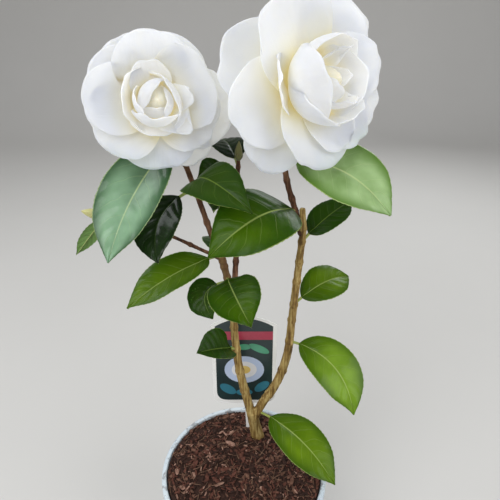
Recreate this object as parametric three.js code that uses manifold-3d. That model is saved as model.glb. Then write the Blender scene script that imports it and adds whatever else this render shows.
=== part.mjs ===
// A young camellia in a round pot: a short trunk forks into thin stems that carry glossy
// leaves on short stalks and two large double blooms, with a picture label behind them.
// Millimetres, +Z up. The origin is the middle of the pot's underside, and -Y is the front.
import * as THREE from 'three';
import { mergeVertices } from 'three/addons/utils/BufferGeometryUtils.js';
import Module from 'manifold-3d';

const wasm = await Module();
wasm.setup();

// Driving sizes
const CLEAR = 0.3; // gap between pieces that touch
const POT = {
  height: 130, rimRadius: 75, lipWidth: 4.2, lipDrop: 11, shoulder: 1.6,
  baseRadius: 55, wall: 2.2, floor: 3, sides: 40,
};
const DRAIN = { count: 6, radius: 5, ringRadius: 38 };
const COMPOST = { top: 126, edgeDrop: 1.5, edgeWidth: 4 };
const LABEL = {
  width: 61, height: 103, corner: 13, thick: 1, arch: 6,
  stalkWidth: 9, stalkTip: 4, depth: 34, x: 0, y: 53, bottom: 158, stalkX: 5, tilt: -4,
};
const LEAF = {
  thick: 0.9, stalkRadius: 1.1, tipHalf: 0.5, shoulder: 0.6, taper: 0.7, drawn: 0.6,
};
const PETAL = { thick: 1.1, waist: 0.5, widest: 0.62, round: 0.3, coarse: 0.25, narrowest: 23 };

// Stems: points that each one passes through, and its radius along the way. Each starts
// inside the one that it grows from, and is cut there to clear it.
const LIMBS = {
  trunk: { points: [[14, 41, 120], [10, 41, 141], [7, 39, 160]], radii: [6.8, 5.6, 5.1], sides: 12 },
  stem_left: {
    points: [[8, 39, 152], [1, 38, 186], [-4, 37, 214], [-8, 35, 258], [-9, 33, 292], [-17, 28.5, 337]],
    radii: [4.4, 4, 3.7, 3.2, 2.9, 2.8], sides: 10,
  },
  stem_right: {
    points: [[9, 39, 150], [17, 38, 172], [29, 36, 197], [38, 33, 233], [41, 29, 284], [43.5, 24, 333],
      [44.5, 20, 362], [43, 17, 380]],
    radii: [4.4, 4, 3.8, 3.4, 3.1, 2.8, 2.3], sides: 10,
  },
  shoot_left: {
    points: [[-16, 29, 331], [-24, 27, 356], [-32, 26, 385], [-40, 24, 412], [-48, 23, 436],
      [-56, 20, 452]],
    radii: [2.2, 2.1, 2, 1.9], sides: 8,
  },
  shoot_right: {
    points: [[44, 21, 358], [40, 19.5, 371], [36, 18, 385], [31, 17, 402], [27, 18, 430],
      [26.5, 19, 446], [29, 16, 459]],
    radii: [2.4, 2.1, 2, 1.9], sides: 8,
  },
  shoot_centre: {
    points: [[-9, 34, 290], [-7, 38, 310], [-5, 41, 344], [-4, 42, 385], [-3, 42, 408]],
    radii: [2.6, 2.3, 1.9, 1.5], sides: 8,
  },
  twig_left: {
    points: [[-16, 29, 333], [-32, 24, 344], [-48, 18, 356], [-66, 12, 368], [-84, 7, 376], [-98, 4, 381]],
    radii: [1.6, 1.4, 1.2, 1], sides: 8,
  },
};

// Leaves: the stem and the share of its length where each grows, where its tip reaches,
// its width, the stalk's length, how far the blade arches up and bends sideways, how it
// rolls about its length, and how far its halves fold up from the midrib, in degrees.
const LEAVES = {
  leaf_under_left_bloom: {
    on: 'shoot_left', at: 0.8, tip: [-86, -30, 362], width: 45, stalk: 6,
    arch: 4, sweep: 5, roll: -22, fold: 20,
  },
  leaf_dark_left: {
    on: 'shoot_left', at: 0.5, tip: [-56, -20, 356], width: 34, stalk: 9,
    arch: 6, sweep: 11, roll: 0, fold: 8,
  },
  leaf_left_middle: {
    on: 'twig_left', at: 0.06, tip: [-84, -10, 313], width: 35, stalk: 5,
    arch: 7, sweep: 0, roll: -15, fold: 12,
  },
  leaf_far_left: {
    on: 'twig_left', at: 0.96, tip: [-121, 8, 348], width: 12, stalk: 3,
    arch: 2, sweep: 0, roll: 74, fold: 10,
  },
  leaf_between_blooms: {
    on: 'shoot_left', at: 0.47, tip: [7, -28, 396], width: 35, stalk: 6,
    arch: 22, sweep: 2, roll: 26, fold: 4,
  },
  leaf_big_centre: {
    on: 'shoot_right', at: 0.2, tip: [-22, -26, 363.5], width: 51, stalk: 2,
    arch: 19.5, sweep: -2, roll: -24, fold: 5,
  },
  leaf_small_centre: {
    on: 'shoot_centre', at: 0.74, tip: [-20, 5, 383], width: 22, stalk: 5,
    arch: 4, sweep: 0, roll: 0, fold: 8,
  },
  leaf_top_centre_left: {
    on: 'shoot_centre', at: 0.86, tip: [-32, 26, 400], width: 38, stalk: 4,
    arch: 5, sweep: 0, roll: -20, fold: 8,
  },
  leaf_top_centre_back: {
    on: 'shoot_centre', at: 0.96, tip: [-20, 84, 412], width: 30, stalk: 5,
    arch: 8, sweep: 0, roll: 0, fold: 8,
  },
  leaf_low_centre: {
    on: 'stem_left', at: 0.88, tip: [6.5, -33, 313], width: 41, stalk: 3,
    arch: 6, sweep: 1, roll: 18, fold: 14,
  },
  leaf_low_left: {
    on: 'stem_left', at: 0.86, tip: [-24, 12, 288], width: 30, stalk: 3,
    arch: 5, sweep: 12, roll: -10, fold: 4,
  },
  leaf_by_label: {
    on: 'stem_left', at: 0.47, tip: [-38, 8, 257], width: 36, stalk: 6,
    arch: 4, sweep: 0, roll: -30, fold: 34,
  },
  leaf_under_right_bloom: {
    on: 'shoot_right', at: 0.58, tip: [96, -16, 389], width: 52, stalk: 6,
    arch: 10, sweep: -6, roll: 24, fold: 6,
  },
  leaf_dark_right: {
    on: 'stem_right', at: 0.88, tip: [84, 45, 376], width: 27, stalk: 5,
    arch: 4, sweep: 0, roll: 16, fold: 8,
  },
  leaf_right_middle: {
    on: 'stem_right', at: 0.62, tip: [90, 56, 301], width: 33, stalk: 4,
    arch: 12, sweep: 0, roll: 24, fold: 6,
  },
  leaf_right_lower: {
    on: 'stem_right', at: 0.45, tip: [91, -12, 209], width: 41, stalk: 4,
    arch: 14, sweep: -9, roll: 18, fold: 8,
  },
  leaf_over_pot: {
    on: 'stem_right', at: 0.05, tip: [80, -21, 134], width: 43, stalk: 10,
    arch: 13, sweep: -2, roll: 6, fold: 6,
  },
  leaf_back_left_bloom: {
    on: 'shoot_left', at: 0.8, tip: [-88, 76, 436], width: 40, stalk: 6,
    arch: 9, sweep: 0, roll: 0, fold: 8,
  },
  leaf_back_high: {
    on: 'shoot_left', at: 0.92, tip: [-36, 92, 468], width: 38, stalk: 6,
    arch: 8, sweep: 0, roll: 0, fold: 10,
  },
  leaf_back_right_bloom: {
    on: 'shoot_right', at: 0.72, tip: [78, 80, 436], width: 42, stalk: 6,
    arch: 9, sweep: 0, roll: 0, fold: 8,
  },
  leaf_back_top: {
    on: 'shoot_right', at: 0.86, tip: [16, 94, 456], width: 36, stalk: 6,
    arch: 8, sweep: 0, roll: 0, fold: 10,
  },
  leaf_back_centre: {
    on: 'shoot_centre', at: 0.45, tip: [30, 98, 336], width: 34, stalk: 5,
    arch: 8, sweep: 0, roll: 0, fold: 8,
  },
  leaf_back_middle: {
    on: 'stem_left', at: 0.97, tip: [-24, 96, 318], width: 30, stalk: 5,
    arch: 8, sweep: 0, roll: 0, fold: 8,
  },
  leaf_back_low: {
    on: 'stem_left', at: 0.68, tip: [-28, 92, 268], width: 32, stalk: 5,
    arch: 8, sweep: 0, roll: 0, fold: 8,
  },
};

// Blooms: where each sits, which way it faces, its size, and its petals from the outside in.
// Each petal has its angle around the bloom, the lean from the bloom's axis at which it sets
// out, and the curl, by which it has turned at its tip. Its length and width come next. Its
// sides rise by cup, twist lifts one edge over its neighbour, and its root stands at a height.
// The last number is the tip's share of the width, which is small for a pointed petal. Angles
// are degrees, lengths are mm. The solids have the petals wider than PETAL.narrowest.
const BLOOMS = {
  left: {
    on: 'shoot_left', at: [-54, 8, 456], faces: [0.24, -0.94, 0.2], size: 1.04,
    petals: [
      [-12, 80, 12, 47.5, 48, 8, 2, 0, 0.95],
      [-55, 79, 12, 44.5, 34, 8, 4, 0, 0.95],
      [62, 72, 16, 40, 44, 8, -2, 1, 0.95],
      [122, 73, 16, 40.5, 42, 8, 3, 1, 0.95],
      [267, 71, 18, 40, 48, 12, 4, 1, 0.95],
      [151, 66, 22, 41.5, 42, 8, -3, 2, 0.95],
      [207, 63, 24, 42, 46, 14, -2, 3, 0.95],
      [-24, 63, 22, 39.5, 44, 12, -2, 2, 0.95],
      [175, 57, 32, 43, 40, 16, 2, 4, 0.95],
      [91, 57, 30, 40.5, 44, 14, 2, 4, 0.95],
      [21, 56, 28, 37.5, 48, 16, 2, 5, 1],
      [101, 50, 16, 26.5, 25, 30, 0, 5, 0.95],
      [6, 66, -24, 26, 18, 44, 4, 5, 0.9],
      [-48, 60, -14, 31.5, 22, 30, -14, 5, 0.5],
      [-85, 58, -8, 23.5, 36, 36, 4, 5, 0.95],
      [172, 80, -84, 34, 40, 56, 4, 2, 0.95],
      [198, 74, -104, 32, 28, 60, 6, 4, 0.9],
      [14, 78, -118, 34, 40, 62, 6, 3, 0.9],
      [-100, 78, -124, 38, 34, 64, 4, 4, 0.95],
      [140, 78, -138, 32, 34, 70, 4, 5, 0.9],
      [350, 74, -128, 29, 23, 70, 6, 5, 0.9],
      [262, 74, -128, 28, 23, 70, 6, 5, 0.9],
    ],
  },
  right: {
    on: 'shoot_right', at: [35, 5, 464], faces: [0.61, -0.73, 0.3], size: 1.2,
    petals: [
      [148, 96, 10, 45.5, 48, 8, 3, 0, 0.95],
      [225, 88, 12, 47.5, 36, 8, 3, 0, 0.95],
      [34, 70, 14, 54.5, 40, 8, 3, 0, 0.95],
      [-20, 60, 16, 45.5, 40, 8, 3, 0, 0.95],
      [59, 63, 16, 48.5, 56, 8, -3, 2, 0.95],
      [11, 58, 16, 46, 36, 8, 3, 2, 0.95],
      [-48, 58, 18, 42.5, 36, 8, 3, 1, 0.95],
      [119, 58, 28, 48, 50, 12, -5, 4, 0.95],
      [190, 82, 18, 48.5, 42, 12, -8, 3, 0.95],
      [259, 70, 18, 42, 50, 12, -4, 4, 0.95],
      [-73, 62, 20, 36.5, 32, 14, 2, 4, 0.95],
      [175, 82, -52, 43, 28, 10, 0, 3, 0.9],
      [224, 86, -92, 40, 42, 60, 6, 3, 0.95],
      [92, 82, -108, 42, 50, 60, 0, 3, 0.95],
      [-4, 74, -90, 36, 40, 60, 4, 3, 0.95],
      [-75, 80, -92, 38, 40, 60, 4, 3, 0.95],
      [184, 90, -122, 50, 44, 60, 4, 4, 0.95],
      [70, 62, -74, 34, 14, 66, 10, 5, 0.5],
      [285, 70, -96, 34, 24, 60, -6, 5, 0.7],
      [210, 66, -100, 34, 22, 66, 4, 6, 0.8],
      [10, 60, -84, 26, 16, 60, 10, 6, 0.7],
    ],
  },
};
const HEART = { radius: 9, length: 29 };
const CALYX = { radius: 7.5, length: 11, neck: 2.6, top: -1.8 };
const BUDS = {
  bud_left: { on: 'twig_left', radius: 3.4, length: 13 },
  bud_centre: { on: 'shoot_centre', radius: 3, length: 15 },
};

const rad = THREE.MathUtils.degToRad;
const vec = (p) => new THREE.Vector3(...p);
const mix = THREE.MathUtils.lerp;

// A closed geometry as a manifold solid, facing out.
function solidOf(geometry) {
  const bare = geometry.index ? geometry.toNonIndexed() : geometry.clone();
  bare.deleteAttribute('normal');
  bare.deleteAttribute('uv');
  const merged = mergeVertices(bare, 1e-4);
  const triVerts = new Uint32Array(merged.index.array);
  const make = () => new wasm.Manifold(new wasm.Mesh({
    numProp: 3, vertProperties: merged.attributes.position.array, triVerts,
  }));
  const solid = make();
  if (solid.volume() > 0) return solid;
  for (let i = 0; i < triVerts.length; i += 3) {
    [triVerts[i + 1], triVerts[i + 2]] = [triVerts[i + 2], triVerts[i + 1]];
  }
  return make();
}

// The biggest body of a solid: scraps go, and hollows that fusing has sealed are filled.
function onePiece(solid) {
  return solid.decompose().reduce((best, body) => (body.volume() > best.volume() ? body : best));
}

function meshOf(name, solid, colour, roughness) {
  const { numProp, vertProperties, triVerts } = solid.getMesh();
  const positions = new Float32Array((vertProperties.length / numProp) * 3);
  for (let i = 0; i < positions.length / 3; i++) {
    positions.set(vertProperties.subarray(i * numProp, i * numProp + 3), i * 3);
  }
  const geometry = new THREE.BufferGeometry();
  geometry.setAttribute('position', new THREE.BufferAttribute(positions, 3));
  geometry.setIndex(new THREE.BufferAttribute(new Uint32Array(triVerts), 1));
  const material = new THREE.MeshStandardMaterial({ color: colour, roughness, metalness: 0 });
  const mesh = new THREE.Mesh(geometry, material);
  mesh.name = name;
  return mesh;
}

// A closed skin through equal rings of points. Each ring runs along one side of a section
// and back along the other, so strips between the two sides close the ends.
function loft(rings) {
  const size = rings[0].length;
  const index = [];
  const quad = (a, b, c, d) => index.push(a, b, c, a, c, d);
  for (let i = 0; i + 1 < rings.length; i++) {
    for (let j = 0; j < size; j++) {
      const k = (j + 1) % size;
      quad(i * size + j, i * size + k, (i + 1) * size + k, (i + 1) * size + j);
    }
  }
  const last = (rings.length - 1) * size;
  for (let j = 0; j < size / 2 - 1; j++) {
    quad(j + 1, j, size - 1 - j, size - 2 - j);
    quad(last + j, last + j + 1, last + size - 2 - j, last + size - 1 - j);
  }
  const geometry = new THREE.BufferGeometry().setFromPoints(rings.flat());
  geometry.setIndex(index);
  return geometry;
}

function curveOf(limb) {
  return new THREE.CatmullRomCurve3(limb.points.map(vec), false, 'centripetal');
}

function radiusAt(limb, share) {
  const place = share * (limb.radii.length - 1);
  const low = Math.min(Math.floor(place), limb.radii.length - 2);
  return mix(limb.radii[low], limb.radii[low + 1], place - low);
}

// A tapering stem, grown by a margin where another piece is cut to clear it.
function limbSolid(limb, margin = 0) {
  const curve = curveOf(limb);
  const steps = (limb.points.length - 1) * 2;
  const frames = curve.computeFrenetFrames(steps, false);
  const rings = [];
  for (let i = 0; i <= steps; i++) {
    const past = i === 0 ? -margin : i === steps ? margin : 0;
    const centre = curve.getPointAt(i / steps).addScaledVector(frames.tangents[i], past);
    const radius = radiusAt(limb, i / steps) + margin;
    const ring = [];
    for (let j = 0; j < limb.sides; j++) {
      const turn = ((j + 0.5) / limb.sides) * 2 * Math.PI;
      ring.push(centre.clone()
        .addScaledVector(frames.normals[i], radius * Math.cos(turn))
        .addScaledVector(frames.binormals[i], radius * Math.sin(turn)));
    }
    rings.push(ring);
  }
  return solidOf(loft(rings));
}

// Half the blade's width at a share of its length from the stalk. Its tip is drawn out.
function leafHalfWidth(leaf, share) {
  const { shoulder, taper, stalkRadius, tipHalf, drawn } = LEAF;
  const peak = shoulder / (shoulder + taper);
  const full = peak ** shoulder * (1 - peak) ** taper;
  const hollow = 1 - drawn * Math.max(0, (share - 0.7) / 0.3) ** 2;
  const shape = (hollow * share ** shoulder * (1 - share) ** taper) / full;
  return Math.max((leaf.width / 2) * shape, mix(stalkRadius, tipHalf, share));
}

const STALK_STEPS = [0, 0.5];
const BLADE_STEPS = [0, 0.06, 0.2, 0.38, 0.58, 0.76, 0.9, 1];
const LEAF_COLUMNS = [-1, -0.5, 0, 0.5, 1];

// One leaf on its stalk: its midrib is a parabola from the stem's middle to the tip.
function leafSolid(leaf) {
  const root = curveOf(LIMBS[leaf.on]).getPointAt(leaf.at);
  const chord = vec(leaf.tip).sub(root);
  const along = chord.clone().normalize();
  const up = new THREE.Vector3(0, 0, 1).addScaledVector(along, -along.z).normalize();
  up.applyAxisAngle(along, rad(leaf.roll));
  const side = new THREE.Vector3().crossVectors(along, up);
  const lift = up.clone().multiplyScalar(leaf.arch).addScaledVector(side, leaf.sweep);
  const stalkShare = (leaf.stalk + radiusAt(LIMBS[leaf.on], leaf.at)) / chord.length();
  const stations = [
    ...STALK_STEPS.map((s) => ({ place: s * stalkShare, half: LEAF.stalkRadius, blade: 0 })),
    ...BLADE_STEPS.map((s) => ({
      place: mix(stalkShare, 1, s), half: leafHalfWidth(leaf, s), blade: Math.min(1, s / 0.2),
    })),
  ];
  const rings = stations.map(({ place, half, blade }) => {
    const centre = root.clone().addScaledVector(chord, place)
      .addScaledVector(lift, 4 * place * (1 - place));
    const tangent = chord.clone().addScaledVector(lift, 4 - 8 * place).normalize();
    const across = new THREE.Vector3().crossVectors(tangent, up).normalize();
    const normal = new THREE.Vector3().crossVectors(across, tangent);
    const fold = rad(leaf.fold) * blade;
    const skin = (u, face) => {
      const round = LEAF.stalkRadius * Math.sqrt(1 - 0.8 * u * u);
      const halfThick = mix(round, LEAF.thick / 2, blade);
      return centre.clone()
        .addScaledVector(across, half * u * Math.cos(fold))
        .addScaledVector(normal, half * Math.abs(u) * Math.sin(fold) + face * halfThick);
    };
    return [
      ...LEAF_COLUMNS.map((u) => skin(u, 1)),
      ...LEAF_COLUMNS.toReversed().map((u) => skin(u, -1)),
    ];
  });
  return solidOf(loft(rings));
}

const PETAL_ROWS = [0, 0.32, 0.62, 0.85, 1];
const PETAL_COLUMNS = [-1, -0.55, 0, 0.55, 1];

// One petal in the bloom's own frame, whose Z is the bloom's axis.
function petalSolid(azimuth, lean, curl, length, width, cup, twist, lift, tip) {
  const start = rad(lean);
  const turn = rad(curl);
  const radial = new THREE.Vector3(Math.cos(rad(azimuth)), Math.sin(rad(azimuth)), 0);
  const across = new THREE.Vector3(-radial.y, radial.x, 0);
  const axis = new THREE.Vector3(0, 0, 1);
  const skin = (u, v, face) => {
    const reach = v * (1 - PETAL.round * Math.abs(u) ** 3 * v * v);
    const angle = start + turn * reach;
    const out = (length / turn) * (Math.cos(start) - Math.cos(angle));
    const rise = (length / turn) * (Math.sin(angle) - Math.sin(start));
    const swell = Math.sin(Math.min(1, v / PETAL.widest) * Math.PI / 2);
    const close = Math.max(0, (v - PETAL.widest) / (1 - PETAL.widest));
    const half = (width / 2) * mix(PETAL.waist, 1, swell) * mix(1, tip, close ** 2);
    const bow = u * rad(cup);
    const bowRadius = half / rad(cup);
    const inward = bowRadius * (1 - Math.cos(bow)) + u * half * Math.sin(rad(twist))
      + (face * PETAL.thick) / 2;
    return new THREE.Vector3()
      .addScaledVector(radial, out - Math.cos(angle) * inward)
      .addScaledVector(axis, lift + rise + Math.sin(angle) * inward)
      .addScaledVector(across, bowRadius * Math.sin(bow));
  };
  const rings = PETAL_ROWS.map((v) => [
    ...PETAL_COLUMNS.map((u) => skin(u, v, 1)),
    ...PETAL_COLUMNS.toReversed().map((u) => skin(u, v, -1)),
  ]);
  return solidOf(loft(rings));
}

// Where a bloom's own frame lies, with its Y as near to up as it can be.
function bloomPlace(bloom) {
  const facing = vec(bloom.faces).normalize();
  const right = new THREE.Vector3(0, 0, 1).cross(facing).normalize();
  const top = new THREE.Vector3().crossVectors(facing, right);
  return new THREE.Matrix4().makeBasis(right, top, facing)
    .scale(new THREE.Vector3(bloom.size, bloom.size, bloom.size))
    .setPosition(vec(bloom.at));
}

function bloomSolid(bloom) {
  const profile = [
    [0, -1.5], [HEART.radius * 0.7, -1], [HEART.radius, HEART.length * 0.35],
    [HEART.radius * 0.6, HEART.length * 0.8], [0, HEART.length],
  ].map(([r, z]) => new THREE.Vector2(r, z));
  const heart = new THREE.LatheGeometry(profile, 10).rotateX(Math.PI / 2);
  let solid = solidOf(heart);
  for (const petal of bloom.petals.filter(([, , , , width]) => width > PETAL.narrowest)) {
    solid = solid.add(petalSolid(...petal));
  }
  return onePiece(solid.simplify(PETAL.coarse));
}

function potSolid() {
  const p = POT;
  const slope = (p.rimRadius - p.lipWidth + p.wall - p.baseRadius) / p.height;
  const inner = (z) => p.baseRadius - p.wall + slope * z;
  const outer = (z) => inner(z) + p.wall;
  const lipBottom = p.height - p.lipDrop;
  const profile = [
    [0, 0], [p.baseRadius, 0], [outer(lipBottom), lipBottom],
    [p.rimRadius - p.shoulder, lipBottom + p.shoulder], [p.rimRadius, p.height - p.shoulder],
    [p.rimRadius - p.shoulder, p.height], [inner(p.height) + p.shoulder, p.height],
    [inner(p.height), p.height - p.shoulder], [inner(p.floor), p.floor], [0, p.floor],
  ].map(([r, z]) => new THREE.Vector2(r, z));
  let solid = solidOf(new THREE.LatheGeometry(profile, POT.sides).rotateX(Math.PI / 2));
  for (let i = 0; i < DRAIN.count; i++) {
    const turn = (i / DRAIN.count) * 2 * Math.PI;
    const hole = new THREE.CylinderGeometry(DRAIN.radius, DRAIN.radius, p.floor * 4, 12)
      .rotateX(Math.PI / 2)
      .translate(DRAIN.ringRadius * Math.cos(turn), DRAIN.ringRadius * Math.sin(turn), 0);
    solid = solid.subtract(solidOf(hole));
  }
  return solid;
}

function compostSolid() {
  const p = POT;
  const slope = (p.rimRadius - p.lipWidth + p.wall - p.baseRadius) / p.height;
  const fit = (z) => p.baseRadius - p.wall - CLEAR + slope * z;
  const bottom = p.floor + CLEAR;
  const edge = COMPOST.top - COMPOST.edgeDrop;
  const profile = [
    [0, bottom], [fit(bottom), bottom], [fit(edge), edge],
    [fit(edge) - COMPOST.edgeWidth, COMPOST.top], [0, COMPOST.top],
  ].map(([r, z]) => new THREE.Vector2(r, z));
  return solidOf(new THREE.LatheGeometry(profile, POT.sides).rotateX(Math.PI / 2));
}

// The label's outline with its stalk, grown by a margin for the slot in the compost.
function labelSolid(margin = 0) {
  const l = LABEL;
  const half = l.width / 2 + margin;
  const low = -margin;
  const high = l.height + margin;
  const ground = COMPOST.top - l.depth - l.bottom - margin;
  const shape = new THREE.Shape();
  shape.moveTo(l.stalkX - l.stalkWidth / 2 - margin, low);
  shape.lineTo(-half + l.corner, low);
  shape.quadraticCurveTo(-half, low, -half, l.corner);
  shape.lineTo(-half, high - l.corner);
  shape.quadraticCurveTo(0, high + l.arch, half, high - l.corner);
  shape.lineTo(half, l.corner);
  shape.quadraticCurveTo(half, low, half - l.corner, low);
  shape.lineTo(l.stalkX + l.stalkWidth / 2 + margin, low);
  shape.lineTo(l.stalkX + l.stalkTip / 2 + margin, ground);
  shape.lineTo(l.stalkX - l.stalkTip / 2 - margin, ground);
  shape.closePath();
  const thick = l.thick + 2 * margin;
  const geometry = new THREE.ExtrudeGeometry(shape, {
    depth: thick, bevelEnabled: false, curveSegments: 8,
  });
  return solidOf(geometry.translate(0, 0, -thick / 2).rotateX(Math.PI / 2));
}

// The cup of bud scales between a shoot's tip and its bloom.
function calyxSolid(bloom) {
  const c = CALYX;
  const profile = [
    [0, -c.length], [c.neck, -c.length], [c.radius * 0.85, -c.length * 0.6],
    [c.radius, c.top], [0, c.top],
  ].map(([r, z]) => new THREE.Vector2(r, z));
  const shoot = limbSolid(LIMBS[bloom.on], CLEAR).transform(bloomPlace(bloom).invert().elements);
  return onePiece(solidOf(new THREE.LatheGeometry(profile, 12).rotateX(Math.PI / 2)).subtract(shoot));
}

// A closed bud that stands up from its own origin.
function budSolid(bud) {
  const profile = [
    [0, CLEAR], [bud.radius * 0.5, CLEAR], [bud.radius, bud.length * 0.35],
    [bud.radius * 0.65, bud.length * 0.75], [0, bud.length],
  ].map(([r, z]) => new THREE.Vector2(r, z));
  return solidOf(new THREE.LatheGeometry(profile, 10).rotateX(Math.PI / 2));
}

const BARK = 0x9a7d4e;
const LEAF_GREEN = 0x4c7a1e;
const plant = new THREE.Group();

const label = meshOf('label', labelSolid(), 0xf1efe8, 0.4);
label.position.set(LABEL.x, LABEL.y, LABEL.bottom);
label.rotation.x = rad(LABEL.tilt);
label.updateMatrix();
const slot = labelSolid(CLEAR).transform(label.matrix.elements);

plant.add(meshOf('pot', potSolid(), 0xdfe6ea, 0.45));
plant.add(meshOf('compost', compostSolid().subtract(slot), 0x4a2c22, 0.95));
plant.add(label);

const made = [];
for (const [name, limb] of Object.entries(LIMBS)) {
  let solid = limbSolid(limb).trimByPlane([0, 0, 1], COMPOST.top + CLEAR);
  for (const other of made) solid = solid.subtract(limbSolid(LIMBS[other], CLEAR));
  plant.add(meshOf(name, onePiece(solid), BARK, 0.8));
  made.push(name);
}
for (const [name, leaf] of Object.entries(LEAVES)) {
  const solid = leafSolid(leaf).subtract(limbSolid(LIMBS[leaf.on], CLEAR));
  plant.add(meshOf(name, onePiece(solid), LEAF_GREEN, 0.35));
}
for (const [name, bud] of Object.entries(BUDS)) {
  const mesh = meshOf(name, budSolid(bud), 0xb9bd62, 0.5);
  const curve = curveOf(LIMBS[bud.on]);
  mesh.position.copy(curve.getPointAt(1));
  mesh.quaternion.setFromUnitVectors(new THREE.Vector3(0, 0, 1), curve.getTangentAt(1));
  plant.add(mesh);
}
for (const [side, bloom] of Object.entries(BLOOMS)) {
  const head = new THREE.Group();
  head.applyMatrix4(bloomPlace(bloom));
  head.add(meshOf(`calyx_${side}`, calyxSolid(bloom), 0x6f7a2c, 0.6));
  head.add(meshOf(`bloom_${side}`, bloomSolid(bloom), 0xf7f6f0, 0.6));
  plant.add(head);
}

export default plant;
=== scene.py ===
# A young camellia in its pot: streaked bark, waxy leaves on short stalks, two large double
# blooms, a pot of shredded bark and a plain picture label. Metres, +Z up, -Y is the front.
# Sizes in the tables are in millimetres, as on the plant.
import math

import bpy
import numpy as np
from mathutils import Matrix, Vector, kdtree, noise


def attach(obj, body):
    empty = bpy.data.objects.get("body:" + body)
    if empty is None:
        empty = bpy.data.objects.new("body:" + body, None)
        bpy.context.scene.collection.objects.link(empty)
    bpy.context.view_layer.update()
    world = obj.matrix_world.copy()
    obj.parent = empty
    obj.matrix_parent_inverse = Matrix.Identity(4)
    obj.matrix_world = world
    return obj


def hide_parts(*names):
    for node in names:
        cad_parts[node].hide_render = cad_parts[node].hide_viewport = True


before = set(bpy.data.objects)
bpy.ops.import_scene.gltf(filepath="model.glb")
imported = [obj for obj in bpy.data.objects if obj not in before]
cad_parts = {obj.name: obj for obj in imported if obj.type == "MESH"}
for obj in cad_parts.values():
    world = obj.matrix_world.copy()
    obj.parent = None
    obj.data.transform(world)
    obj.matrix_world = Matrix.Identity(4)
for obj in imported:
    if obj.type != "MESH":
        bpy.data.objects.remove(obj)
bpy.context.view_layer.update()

MM = 0.001

# Driving sizes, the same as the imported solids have
CLEAR = 0.3
POT = dict(
    height=130, rim_radius=75, lip_width=4.2, lip_drop=11, shoulder=1.6,
    base_radius=55, wall=2.2, floor=3,
)
DRAIN = dict(count=6, radius=5, ring_radius=38)
COMPOST = dict(top=126, edge_drop=1.5)
LABEL = dict(
    width=61, height=103, corner=13, thick=1, arch=6,
    stalk_width=9, stalk_tip=4, depth=34, x=0, y=53, bottom=158, stalk_x=5, tilt=-4,
)
LEAF = dict(stalk_radius=1.1, tip_half=0.5, shoulder=0.6, taper=0.7, drawn=0.6)
PETAL = dict(waist=0.5, widest=0.62, round=0.3)
HEART = dict(radius=9, length=29)
CALYX = dict(radius=7.5, length=11, neck=2.6, top=-1.8)

# Stems: points that each passes through, and its radius along the way.
LIMBS = {
    "trunk": dict(points=[(14, 41, 120), (10, 41, 141), (7, 39, 160)], radii=[6.8, 5.6, 5.1]),
    "stem_left": dict(
        points=[(8, 39, 152), (1, 38, 186), (-4, 37, 214), (-8, 35, 258), (-9, 33, 292), (-17, 28.5, 337)],
        radii=[4.4, 4, 3.7, 3.2, 2.9, 2.8],
    ),
    "stem_right": dict(
        points=[
            (9, 39, 150), (17, 38, 172), (29, 36, 197), (38, 33, 233), (41, 29, 284), (43.5, 24, 333),
            (44.5, 20, 362), (43, 17, 380),
        ],
        radii=[4.4, 4, 3.8, 3.4, 3.1, 2.8, 2.3],
    ),
    "shoot_left": dict(
        points=[
            (-16, 29, 331), (-24, 27, 356), (-32, 26, 385), (-40, 24, 412), (-48, 23, 436), (-56, 20, 452),
        ],
        radii=[2.2, 2.1, 2, 1.9],
    ),
    "shoot_right": dict(
        points=[
            (44, 21, 358), (40, 19.5, 371), (36, 18, 385), (31, 17, 402), (27, 18, 430), (26.5, 19, 446),
            (29, 16, 459),
        ],
        radii=[2.4, 2.1, 2, 1.9],
    ),
    "shoot_centre": dict(
        points=[(-9, 34, 290), (-7, 38, 310), (-5, 41, 344), (-4, 42, 385), (-3, 42, 408)],
        radii=[2.6, 2.3, 1.9, 1.5],
    ),
    "twig_left": dict(
        points=[
            (-16, 29, 333), (-32, 24, 344), (-48, 18, 356), (-66, 12, 368), (-84, 7, 376), (-98, 4, 381),
        ],
        radii=[1.6, 1.4, 1.2, 1],
    ),
}
OLD_WOOD = ("trunk", "stem_left", "stem_right")
YOUNG_WOOD = ("shoot_left", "shoot_right", "shoot_centre", "twig_left")

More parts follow.
